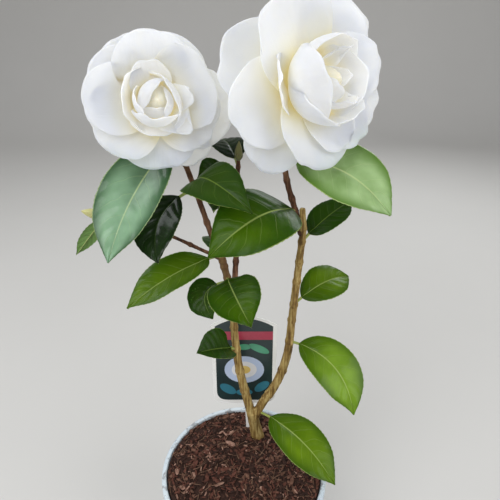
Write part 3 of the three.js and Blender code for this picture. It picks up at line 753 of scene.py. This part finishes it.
def add_leaf(heap, leaf, seed):
    """One leaf on its stalk. Its midrib is a parabola from the stem's middle to the tip."""
    root = RUNS[leaf["on"]].at(leaf["at"])
    chord = np.array(leaf["tip"]) - root
    length = np.linalg.norm(chord)
    along = chord / length
    up = unit(np.array([0, 0, 1]) - along * along[2])
    up = turned(up, along, math.radians(leaf["roll"]))
    side = np.cross(along, up)
    lift = up * leaf["arch"] + side * leaf["sweep"]
    stalk_share = (leaf["stalk"] + radius_at(leaf["on"], leaf["at"])) / length
    teeth = round(length * (1 - stalk_share) / TOOTH_PITCH)
    blade_steps = np.linspace(0, 1, teeth * 4 + 1)
    stalk_steps = np.linspace(0, 1, 7)[:-1]
    place = np.concatenate([stalk_steps * stalk_share, stalk_share + (1 - stalk_share) * blade_steps])
    share = np.concatenate([np.zeros(len(stalk_steps)), blade_steps])
    blade = np.clip(share / 0.12, 0, 1) ** 1.5
    half = leaf_half_width(leaf["width"], share)
    half[: len(stalk_steps)] = LEAF["stalk_radius"]

    centre = root + chord * place[:, None] + lift * (4 * place * (1 - place))[:, None]
    tangent = unit(chord + lift * (4 - 8 * place)[:, None])
    across = unit(np.cross(tangent, up))
    normal = np.cross(across, tangent)
    fold = (np.radians(leaf["fold"]) * blade)[:, None]
    centre, across, normal, half = centre[:, None], across[:, None], normal[:, None], half[:, None]

    u = LEAF_ACROSS[None, :]
    edge = np.abs(u)
    s = share[:, None]
    on_blade = blade[:, None]
    tooth = (s * teeth) % 1
    toothed = (edge > 0.99) * np.clip(s / 0.15, 0, 1) * np.clip((1 - s) / 0.06, 0, 1)
    reach = half * edge + TOOTH_DEPTH * (tooth - 0.5) * toothed
    crease = np.sqrt(edge ** 2 + 0.004) - 0.063
    march = s * VEIN_PAIRS - edge ** VEIN_CURVE * VEIN_SLANT
    swell = np.cos((march - 0.5) * 2 * math.pi) * 0.5 + 0.5
    quilt = 0.42 * (1 - swell ** 3) * np.clip(edge / 0.2, 0, 1) * np.clip((1 - edge) / 0.25, 0, 1)
    groove = -0.45 * np.exp(-((edge / 0.07) ** 2))
    wave_place = centre + across * (half * u)[..., None]
    waves = edge * (1.5 * noise_at(wave_place, 0.045, seed) + 0.5 * noise_at(wave_place, 0.11, seed + 7))
    droop = -0.9 * edge ** 4 * (0.4 + 0.6 * noise_at(wave_place, 0.05, seed + 3))
    rise = half * crease * np.sin(fold)
    surface = rise + on_blade * (quilt + groove + waves + droop)
    round_stalk = LEAF["stalk_radius"] * np.sqrt(1 - 0.96 * u ** 2)
    blade_thick = 0.16 + 0.22 * np.exp(-((edge / 0.12) ** 2)) - 0.08 * edge
    thick = round_stalk * (1 - on_blade) + blade_thick * on_blade
    sideways = np.sign(u) * reach * np.cos(fold)

    def skin(face):
        ridge = 0.5 * np.exp(-((edge / 0.06) ** 2)) * on_blade if face < 0 else 0
        height = surface + face * (thick + ridge)
        return centre + across * sideways[..., None] + normal * height[..., None]

    points, *faces = sheet(skin)
    looks = (list(GREENS).index(leaf["green"]), UNDERSIDE, STALK)
    finishes = [np.full(len(some), look) for some, look in zip(faces, looks)]
    for some in finishes[:2]:
        some[: len(stalk_steps) * (len(LEAF_ACROSS) - 1)] = STALK
    heap.put(points, np.concatenate(faces), np.concatenate(finishes), both_sides(u, s))


def leaves(piece_name, names, materials):
    """The named leaves as one piece."""
    heap = Heap()
    for name in names:
        add_leaf(heap, LEAVES[name], LEAF_SEED * (list(LEAVES).index(name) + 1))
    return heap.make(piece_name, materials, "leaf", *names)


# Blooms

PETAL_ROWS = np.linspace(0, 1, 25) ** 0.9
PETAL_ACROSS = np.sin(np.linspace(-0.5, 0.5, 25) * math.pi)
PETAL_SEED = 40

# Half a petal's thickness, in its middle and at its edge
PETAL_MIDDLE = 0.42
PETAL_EDGE = 0.16

# The length of petal that the ruffles are drawn for, in millimetres
PETAL_LENGTH = 44


def petal(azimuth, lean, curl, length, width, cup, twist, lift, tip, seed):
    """One petal as a sheet in its bloom's own frame, whose Z is the axis."""
    start, turn = math.radians(lean), math.radians(curl)
    azimuth = math.radians(azimuth)
    radial = np.array([math.cos(azimuth), math.sin(azimuth), 0])
    across = np.array([-radial[1], radial[0], 0])
    axis = np.array([0, 0, 1])
    u, v = PETAL_ACROSS[None, :], PETAL_ROWS[:, None]
    rng = np.random.default_rng(seed)
    phase = rng.uniform(0, 6.28, 4)
    notch = rng.uniform(0, 0.035) * np.exp(-(((u - rng.uniform(-0.35, 0.35)) / 0.16) ** 2))
    scallop = 0.007 * np.sin(u * 7 + phase[3])
    reach = v * (1 - PETAL["round"] * np.abs(u) ** 3 * v ** 2 - (notch + scallop) * v ** 5)
    angle = start + turn * reach
    out = length / turn * (math.cos(start) - np.cos(angle))
    rise = length / turn * (np.sin(angle) - math.sin(start))
    swell = np.sin(np.minimum(1, v / PETAL["widest"]) * math.pi / 2)
    close = np.maximum(0, (v - PETAL["widest"]) / (1 - PETAL["widest"]))
    waist = PETAL["waist"]
    half = width / 2 * (waist + (1 - waist) * swell) * (1 + (tip - 1) * close ** 2)
    bow = u * math.radians(cup)
    bow_radius = half / math.radians(cup)
    size = length / PETAL_LENGTH
    edge = np.maximum(np.abs(u) ** 3, v ** 6)
    ruffle = size * edge * v * (
        0.85 * np.sin(u * 5.2 + v * 3 + phase[0]) + 0.5 * np.sin(u * 10.5 - v * 6 + phase[1])
    )
    dish = 0.6 * size * np.sin(v * 3.6 + phase[2]) * (1 - u ** 2) * v
    crease = -0.5 * size * np.exp(-((u / 0.16) ** 2)) * v * (1 - v)
    thick = PETAL_EDGE + (PETAL_MIDDLE - PETAL_EDGE) * (1 - np.abs(u) ** 3) * (1 - v ** 4)

    def skin(face):
        inward = (
            bow_radius * (1 - np.cos(bow)) + u * half * math.sin(math.radians(twist))
            + ruffle + dish + crease + face * thick
        )
        return (
            radial * (out - np.cos(angle) * inward)[..., None]
            + axis * (lift + rise + np.sin(angle) * inward)[..., None]
            + across * (bow_radius * np.sin(bow))[..., None]
        )

    return sheet(skin)


def placing(at, faces, beside=(0, 0, -1), size=1):
    """What puts points on the plant from the own frame of a bloom or bud, whose Z is its axis."""
    facing = unit(np.array(faces))
    right = unit(np.cross(facing, beside))
    basis = np.array([right, np.cross(facing, right), facing]) * size
    return lambda points: points @ basis + at


def bloom_placing(side):
    spec = BLOOMS[side]
    return placing(spec["at"], spec["faces"], size=spec["size"])


def lathe(profile, sides):
    """Rings of points round Z through a profile of (radius, height)."""
    radius, height = np.array(profile, float).T[..., None]
    turns = round_turns(sides)
    return np.stack([radius * np.cos(turns), radius * np.sin(turns), height + 0 * turns], -1)


def bloom(side, materials):
    """All petals of a bloom round its closed heart. Those that curl inward form its cup."""
    put = bloom_placing(side)
    heap = Heap()
    places = both_sides(PETAL_ACROSS, PETAL_ROWS[:, None])
    for number, row in enumerate(BLOOMS[side]["petals"]):
        points, *faces = petal(*row, PETAL_SEED + number)
        in_cup = row[2] < 0
        # Petals that curl inward, and the heart below, take the second finish, which has the stronger
        # painted glow.
        heap.put(put(points), np.concatenate(faces), int(in_cup), places)
    share = np.linspace(0, 1, 13)
    girth = HEART["radius"] * np.sin(share ** 0.8 * math.pi) ** 0.7 + 0.05
    heap.put_rings(put(lathe(np.stack([girth, HEART["length"] * share], -1), 28)), 1, 0.45)
    return heap.make(f"bloom_{side}_petals", materials, "petal", f"bloom_{side}")


# Calyces and buds

SCALE_ACROSS = np.linspace(-1, 1, 9)
SCALE_ROWS = np.linspace(0, 1, 9)[:, None]


def scale(azimuth, radius, foot, tip, tip_radius, width):
    """One small scale that hugs a bud from its foot up to its tip."""
    u, v = SCALE_ACROSS, SCALE_ROWS
    ring = radius * np.sin((0.12 + 0.6 * v) * math.pi) + (tip_radius - radius * 0.77) * v ** 2
    height = foot + (tip - foot) * v * (1 - 0.22 * u ** 2 * v)
    spread = width * (1 - 0.85 * v ** 2.5) * u
    turn = math.radians(azimuth) + spread

    def skin(face):
        reach = ring + 0.16 * face * (1 - v * 0.6)
        return np.stack([reach * np.cos(turn), reach * np.sin(turn), height], -1)

    return sheet(skin)


def scales(heap, put, rows):
    """Rows of overlapping scales, each row with its count, radii, heights and width."""
    for count, turn, radius, foot, tip, tip_radius, width in rows:
        for number in range(count):
            azimuth = turn + number * 360 / count
            points, *faces = scale(azimuth, radius, foot, tip, tip_radius, width)
            heap.put(put(points), np.concatenate(faces), 0, both_sides(SCALE_ACROSS, SCALE_ROWS))


def calyx(side, material):
    """The cup of overlapping scales between a shoot's tip and its bloom."""
    put = bloom_placing(side)
    heap = Heap()
    long, wide, top = CALYX["length"], CALYX["radius"], CALYX["top"]
    body = [
        (0.5, -long), (CALYX["neck"], -long + 0.3), (wide * 0.8, -long * 0.62), (wide * 0.93, top - 1),
        (0.5, top - 0.4),
    ]
    heap.put_rings(put(lathe(body, 24)))
    scales(heap, put, [
        (5, 12, wide * 0.86, -long + 0.4, -long * 0.2, wide * 0.96, 0.85),
        (5, 48, wide * 0.72, -long + 0.2, -long * 0.5, wide * 0.9, 0.8),
        (3, 20, wide * 0.56, -long + 0.1, -long * 0.68, wide * 0.7, 0.95),
    ])
    return heap.make(f"calyx_{side}_scales", [material], "bud_scale", f"calyx_{side}")


def bud(name, spec, material):
    """A closed bud at a shoot's tip, wrapped in scales."""
    run = RUNS[spec["on"]]
    put = placing(run.at(1.0), run.heading(1.0), (0.2, 0.1, 1))
    heap = Heap()
    wide, long = spec["radius"], spec["length"]
    share = np.linspace(0, 1, 12)
    girth = wide * 0.86 * np.sin(share ** 0.75 * math.pi) ** 0.8 + 0.05
    heap.put_rings(put(lathe(np.stack([girth, 0.3 + (long - 0.6) * share], -1), 20)), 0, 0.5)
    scales(heap, put, [
        (2, 10, wide * 0.98, 0.4, long * 0.97, 0.25, 1.25),
        (3, 70, wide * 1.0, 0.3, long * 0.72, wide * 0.62, 1.0),
        (3, 20, wide * 0.98, 0.2, long * 0.42, wide * 0.88, 0.95),
    ])
    return heap.make(f"{name}_scales", [material], "bud_scale", name)


# Pot, compost and label

POT_SIDES = 160
SLOPE = (POT["rim_radius"] - POT["lip_width"] + POT["wall"] - POT["base_radius"]) / POT["height"]


def pot_inner(height):
    return POT["base_radius"] - POT["wall"] + SLOPE * height


def pot_outer(height):
    return pot_inner(height) + POT["wall"]


def arc(centre, radius, first, last, count=6):
    """Points round a part of a circle, between two angles in degrees."""
    turns = np.radians(np.linspace(first, last, count))
    return [(centre[0] + radius * math.cos(t), centre[1] + radius * math.sin(t)) for t in turns]


def pot(material):
    """The tapered pot with its rolled lip, a stepped foot and drain holes."""
    top, lip = POT["height"], POT["height"] - POT["lip_drop"]
    rim, s = POT["rim_radius"], POT["shoulder"]
    floor, foot = POT["floor"], POT["base_radius"]
    profile = [
        (0.01, 0.8), (foot - 7, 0.8), *arc((foot - 6, 0.8), 0.8, 180, 270, 4),
        *arc((foot - 1.2, 1.2), 1.2, -90, 0),
        (pot_outer(lip - 1.2) - 0.2, lip - 1.2), *arc((pot_outer(lip) + 0.8, lip - 0.4), 0.8, 180, 90, 4),
        *arc((rim - s, lip + s), s, -80, 0), *arc((rim - s, top - s), s, 0, 90),
        *arc((pot_inner(top) + s, top - s), s, 90, 180), (pot_inner(floor) + 0.2, floor + 1.5),
        *arc((pot_inner(floor) - 1.5, floor + 1.5), 1.5, 0, -90, 4), (0.01, floor),
    ]
    heap = Heap()
    heap.put_tube(lathe(profile, POT_SIDES))
    piece = heap.make("pot_shell", [material], "pot_plastic", "pot")
    holes = Heap()
    for turn in round_turns(DRAIN["count"]):
        spot = DRAIN["ring_radius"] * np.array([math.cos(turn), math.sin(turn), 0])
        holes.put_tube(lathe([(DRAIN["radius"], -5), (DRAIN["radius"], 10)], 32) + spot)
    drill = holes.make("drain_holes", [], "pot_plastic")
    cut = piece.modifiers.new("drain", "BOOLEAN")
    cut.object = drill
    cut.solver = "EXACT"
    cut_mesh = modified(piece)
    piece.modifiers.remove(cut)
    piece.data = cut_mesh
    bpy.data.objects.remove(drill)
    return piece


BED_SIDES = 120
BED_RINGS = 46

# Loose pieces on the bed: how many, how far they keep from the trunk's middle, and the share
# of the chips in each colour. Fibres have a colour of their own after those.
CHIP_COUNT = 2600
FIBRE_COUNT = 260
TRUNK_CLEAR = 6.5
CHIP_SHARES = (0.42, 0.33, 0.19, 0.06)
FIBRE_FINISH = len(CHIP_SHARES)
CHIP_SEED = 5
BARK_COLOURS = dict(
    dark=((0.02, 0.009, 0.006), (0.055, 0.024, 0.016)), red=((0.062, 0.021, 0.013), (0.15, 0.056, 0.037)),
    brown=((0.09, 0.04, 0.025), (0.2, 0.1, 0.065)), pale=((0.25, 0.125, 0.09), (0.45, 0.27, 0.20)),
    fibre=((0.12, 0.06, 0.036), (0.28, 0.165, 0.105)),
)


def add_chip(heap, rng, spot, size, turn, tilt, finish):
    """A splinter of bark: six sides, thick in the middle and ragged at both ends."""
    long, wide, thick = size
    stations = np.array([-0.5, -0.28, 0.1, 0.36, 0.5]) * long
    girth = np.array([0.45, 0.95, 1, 0.8, 0.3]) * rng.uniform(0.8, 1.15, 5)
    turns = round_turns(6) + rng.uniform(0, 1)
    rough = rng.uniform(0.75, 1.2, (5, 6))
    bend = rng.normal(0, 0.05) * stations ** 2 / max(long, 4)
    ragged = rng.normal(0, 0.05 * long, (5, 6)) * (np.abs(stations) > 0.4 * long)[:, None]
    x = stations[:, None] + ragged
    y = girth[:, None] * wide / 2 * np.cos(turns) * rough + bend[:, None]
    z = girth[:, None] * thick / 2 * np.sin(turns) * rough
    rings = np.stack([x, y, z], -1) @ about(1, -tilt[0]) @ about(0, tilt[1]) @ about(2, turn)
    heap.put_tube(rings + spot, finish, flip=True)


def compost_height(x, y):
    """The bed's height, rough in two sizes and banked up to the pot's wall."""
    broad = Vector((x * 0.03, y * 0.03, 2.5))
    fine = Vector((x * 0.11, y * 0.11, 7.5))
    radius = math.hypot(x, y)
    bank = 2.4 * min(1, max(0, (radius - 50) / 18))
    return COMPOST["top"] - 0.6 + bank + 1.3 * noise.noise(broad) + 0.7 * noise.noise(fine)


def compost(materials):
    """Shredded bark: a rough bed that fills the pot, with chips and fibres lying on it."""
    floor = POT["floor"] + CLEAR
    top, edge = COMPOST["top"], COMPOST["top"] - COMPOST["edge_drop"]
    radii = np.linspace(1, 0.3, BED_RINGS) * (pot_inner(edge) - CLEAR)
    sides = [
        (0.01, floor), (pot_inner(floor) - CLEAR - 1.6, floor), (pot_inner(floor + 2) - CLEAR, floor + 2),
        (radii[0], edge - 2),
    ]
    rings = lathe([*sides, *((radius, top) for radius in radii), (0.3, top)], BED_SIDES)
    for ring in rings[len(sides):]:
        for point in ring:
            point[2] = compost_height(point[0], point[1])
    heap = Heap()
    heap.put_tube(rings)
    rng = np.random.default_rng(CHIP_SEED)
    limit = pot_inner(top) - CLEAR
    trunk_spot = RUNS["trunk"].at(0.15)
    for index in range(CHIP_COUNT + FIBRE_COUNT):
        fibre = index >= CHIP_COUNT
        long = rng.uniform(5, 13) if fibre else float(np.clip(rng.lognormal(1.35, 0.42), 1.6, 11))
        wide = rng.uniform(0.35, 0.7) if fibre else long * rng.uniform(0.22, 0.55)
        thick = rng.uniform(0.25, 0.45) if fibre else rng.uniform(0.5, 1.5)
        reach = limit * math.sqrt(rng.uniform(0, 1))
        turn = rng.uniform(0, 2 * math.pi)
        x, y = reach * math.cos(turn), reach * math.sin(turn)
        lie = rng.uniform(0, math.pi)
        if reach + long / 2 > limit:
            lie = turn + math.pi / 2 + rng.normal(0, 0.15)
            pull = min(1, (limit - 0.5 * wide - 0.5) / max(reach, 1))
            x, y = x * pull, y * pull
        if math.hypot(x - trunk_spot[0], y - trunk_spot[1]) < TRUNK_CLEAR:
            continue
        tilt = rng.normal(0, 0.16 if fibre else 0.3, 2)
        z = compost_height(x, y) + rng.uniform(0.1, 1.4) + (0.5 if fibre else 0)
        finish = FIBRE_FINISH if fibre else int(rng.choice(len(CHIP_SHARES), p=CHIP_SHARES))
        add_chip(heap, rng, (x, y, z), (long, wide, thick), lie, tilt, finish)
    return heap.make("bark_compost", materials, "bark_compost", "compost")


# The label's white border, and the lower and upper edge of the band across it
LABEL_BORDER = 3.6
LABEL_BAND = (74, 83)
OVAL_SIDES = 28

# The label's finishes: the card, the panel in the border, the band and then the ovals
CARD_COLOURS = dict(
    white=((0.95, 0.945, 0.92), (0.9, 0.89, 0.85)), night=((0.012, 0.028, 0.03), (0.02, 0.05, 0.05)),
    rose=((0.42, 0.03, 0.07), (0.55, 0.08, 0.12)), leaf=((0.06, 0.32, 0.17), (0.12, 0.42, 0.27)),
    teal=((0.03, 0.17, 0.24), (0.05, 0.24, 0.32)), sky=((0.52, 0.62, 0.82), (0.62, 0.7, 0.86)),
    cream=((0.82, 0.82, 0.84), (0.86, 0.84, 0.78)), straw=((0.78, 0.56, 0.16), (0.84, 0.66, 0.28)),
)

# Ovals on the label: how far each stands out, its finish, its middle, its half width and
# half height, and how it leans.
LABEL_OVALS = (
    (0.09, 3, -15, 62, 9.5, 3.6, 0.5), (0.09, 3, 14, 64, 10.5, 3.8, -0.45),
    (0.09, 4, 17, 20, 8.5, 4.6, 0.7), (0.09, 4, -16, 17, 9, 4.8, -0.6),
    (0.09, 4, 0, 13, 8, 4), (0.09, 3, 0, 66, 6.5, 3.2),
    (0.11, 5, 0, 40, 19, 15.5), (0.15, 6, 0, 40, 12, 9.5), (0.19, 7, 0, 40, 6, 4.6),
)


def curve_between(start, bend, end, count=14):
    """Points from start to end, on a curve drawn towards bend."""
    share = np.linspace(0, 1, count)[:, None]
    start, bend, end = (np.array(p, float) for p in (start, bend, end))
    return (1 - share) ** 2 * start + 2 * share * (1 - share) * bend + share ** 2 * end


def label_outline(inset=0.0, stalk=True):
    """The card's outline from the stalk round to the stalk again, counter-clockwise."""
    half, high, corner = LABEL["width"] / 2 - inset, LABEL["height"] - inset, LABEL["corner"]
    low, soft = inset, corner - inset * 0.6
    middle, wide, tip = LABEL["stalk_x"], LABEL["stalk_width"] / 2, LABEL["stalk_tip"] / 2
    ground = COMPOST["top"] - LABEL["depth"] - LABEL["bottom"]
    path = []
    if stalk:
        path += [(middle - tip, ground), (middle + tip, ground), (middle + wide, low)]
    path += curve_between((half - soft, low), (half, low), (half, low + soft)).tolist()
    path += curve_between((half, high - soft), (0, high + LABEL["arch"]), (-half, high - soft), 30).tolist()
    path += curve_between((-half, low + soft), (-half, low), (-half + soft, low)).tolist()
    if stalk:
        path += [(middle - wide, low)]
    return np.array(path)


def slab(heap, outline, front, back, finish):
    """A flat plate of one outline in the card's own frame, X right and Z up."""
    rings = [np.insert(outline, 1, depth, axis=1) for depth in (front, back)]
    heap.put_tube(np.array(rings), finish, flip=True)


def oval(x, z, wide, high, lean=0.0):
    """The outline of an oval for a slab."""
    turns = round_turns(OVAL_SIDES)
    flat = np.stack([wide * np.cos(turns), high * np.sin(turns), 0 * turns], -1)
    return (flat @ about(2, lean))[:, :2] + (x, z)


def label(materials):
    """A card with a white border and a plain pattern of ovals and a band."""
    heap = Heap()
    face = -LABEL["thick"] / 2
    slab(heap, label_outline(), face, -face, 0)
    slab(heap, label_outline(LABEL_BORDER, stalk=False), face - 0.05, face, 1)
    half, (low, high) = LABEL["width"] / 2 - LABEL_BORDER, LABEL_BAND
    band = np.array([(-half, low), (half, low), (half, high), (-half, high)])
    slab(heap, band, face - 0.09, face, 2)
    for raised, finish, *shape in LABEL_OVALS:
        slab(heap, oval(*shape), face - raised, face, finish)
    turn = about(0, math.radians(LABEL["tilt"]))
    place = (LABEL["x"], LABEL["y"], LABEL["bottom"])
    heap.points = [points @ turn + place for points in heap.points]
    piece = heap.make("picture_label", materials, "printed_card", "label")
    piece.data.shade_flat()
    return piece


# The camera, the floor and the light

# The camera's place, how many degrees it looks down, and its lens
EYE = (0.0055, -0.301, 0.512)
LOOK_DOWN = 27.4
LENS = 34.56

# How far behind the plant the backdrop stands, and the radius of its bend
BEHIND = 2.2
BEND = 0.6


def camera():
    data = bpy.data.cameras.new("camera")
    data.lens = LENS
    data.clip_start = 0.01
    eye = add("camera", data)
    eye.location = EYE
    eye.rotation_euler = (math.radians(90 - LOOK_DOWN), 0, 0)
    bpy.context.scene.camera = eye


def backdrop():
    """A plain pale floor that curves up into a backdrop far behind."""
    line = [(-3.5, 0), *arc((BEHIND - BEND, BEND), BEND, -90, 0, 13), (BEHIND, 3.5)]
    points = [(x, y, z) for y, z in line for x in (-4, 4)]
    faces = [(2 * i, 2 * i + 1, 2 * i + 3, 2 * i + 2) for i in range(len(line) - 1)]
    mesh = bpy.data.meshes.new("floor")
    mesh.from_pydata(points, [], faces)
    mesh.shade_smooth()
    paper = Finish("floor_paper", Roughness=0.8, Specular_IOR_Level=0.2)
    tone = paper.noise(paper.place(), 3, 3)
    paper.set("Base Color", paper.blend((0.60, 0.585, 0.56), ((0.64, 0.625, 0.60), tone)))
    mesh.materials.append(paper.material)
    add("floor", mesh)


def lamp(name, place, target, size, power, colour):
    """A round lamp that shines from its place towards a target."""
    data = bpy.data.lights.new(name, "AREA")
    data.shape = "DISK"
    data.size = size
    data.energy = power
    data.color = colour
    light = add(name, data)
    light.location = place
    light.rotation_euler = (Vector(target) - Vector(place)).to_track_quat("-Z", "Y").to_euler()


def studio():
    world = bpy.data.worlds.new("studio")
    world.use_nodes = True
    sky = world.node_tree.nodes["Background"]
    sky.inputs["Color"].default_value = (0.96, 0.98, 1.0, 1)
    sky.inputs["Strength"].default_value = 0.36
    bpy.context.scene.world = world
    bpy.context.scene.view_settings.view_transform = "Standard"
    lamp("key", (-0.6, -1.0, 1.35), (0, 0, 0.35), 1.3, 16.5, (0.97, 0.98, 1))
    lamp("fill", (1.1, -0.7, 0.9), (0, 0, 0.35), 1.3, 9, (0.97, 0.98, 1))
    lamp("left_window", (-1.0, 0.36, 1.25), (-0.05, 0, 0.38), 0.8, 6, (0.95, 0.98, 1))
    lamp("right_window", (0.62, 1.15, 1.0), (0.06, 0, 0.38), 0.8, 6, (0.95, 0.98, 1))


camera()

old_bark = bark_finish(
    "old_bark", (0.115, 0.06, 0.016), (0.285, 0.178, 0.05), (0.55, 0.41, 0.16), 0.72, (0.13, 0.055, 0.028),
)
young_bark = bark_finish("young_bark", (0.045, 0.018, 0.01), (0.13, 0.055, 0.028), (0.26, 0.13, 0.07), 0.55)
wood("old_stems", OLD_WOOD, "old_bark", old_bark, 0.3)
wood("young_shoots", YOUNG_WOOD, "young_bark", young_bark, 0.22)

leaf_materials = [leaf_finish("leaf_" + name, *look) for name, look in GREENS.items()]
leaf_materials += [underside_finish(), stalk_finish()]
leaves("front_leaves", FRONT_LEAVES, leaf_materials)
leaves("back_leaves", BACK_LEAVES, leaf_materials)

# The cup petals and the heart take the stronger painted glow, which brightens the shaded cup.
petals = [petal_finish("petal", 0.12), petal_finish("cup_petal", 0.17)]
calyx_scales = scale_finish("calyx_scales", (0.11, 0.13, 0.035), (0.22, 0.24, 0.07), (0.28, 0.2, 0.09))
bud_scales = dict(
    bud_left=scale_finish("pale_bud", (0.48, 0.48, 0.16), (0.66, 0.62, 0.28), (0.6, 0.48, 0.22)),
    bud_centre=scale_finish("olive_bud", (0.10, 0.11, 0.03), (0.22, 0.21, 0.07), (0.2, 0.12, 0.05)),
)
for side in BLOOMS:
    bloom(side, petals)
    calyx(side, calyx_scales)
for name, spec in BUDS.items():
    bud(name, spec, bud_scales[name])

pot(pot_finish())
compost([chip_finish("bark_" + name, *pair) for name, pair in BARK_COLOURS.items()])
label([card_finish("card_" + name, *pair) for name, pair in CARD_COLOURS.items()])

backdrop()
studio()
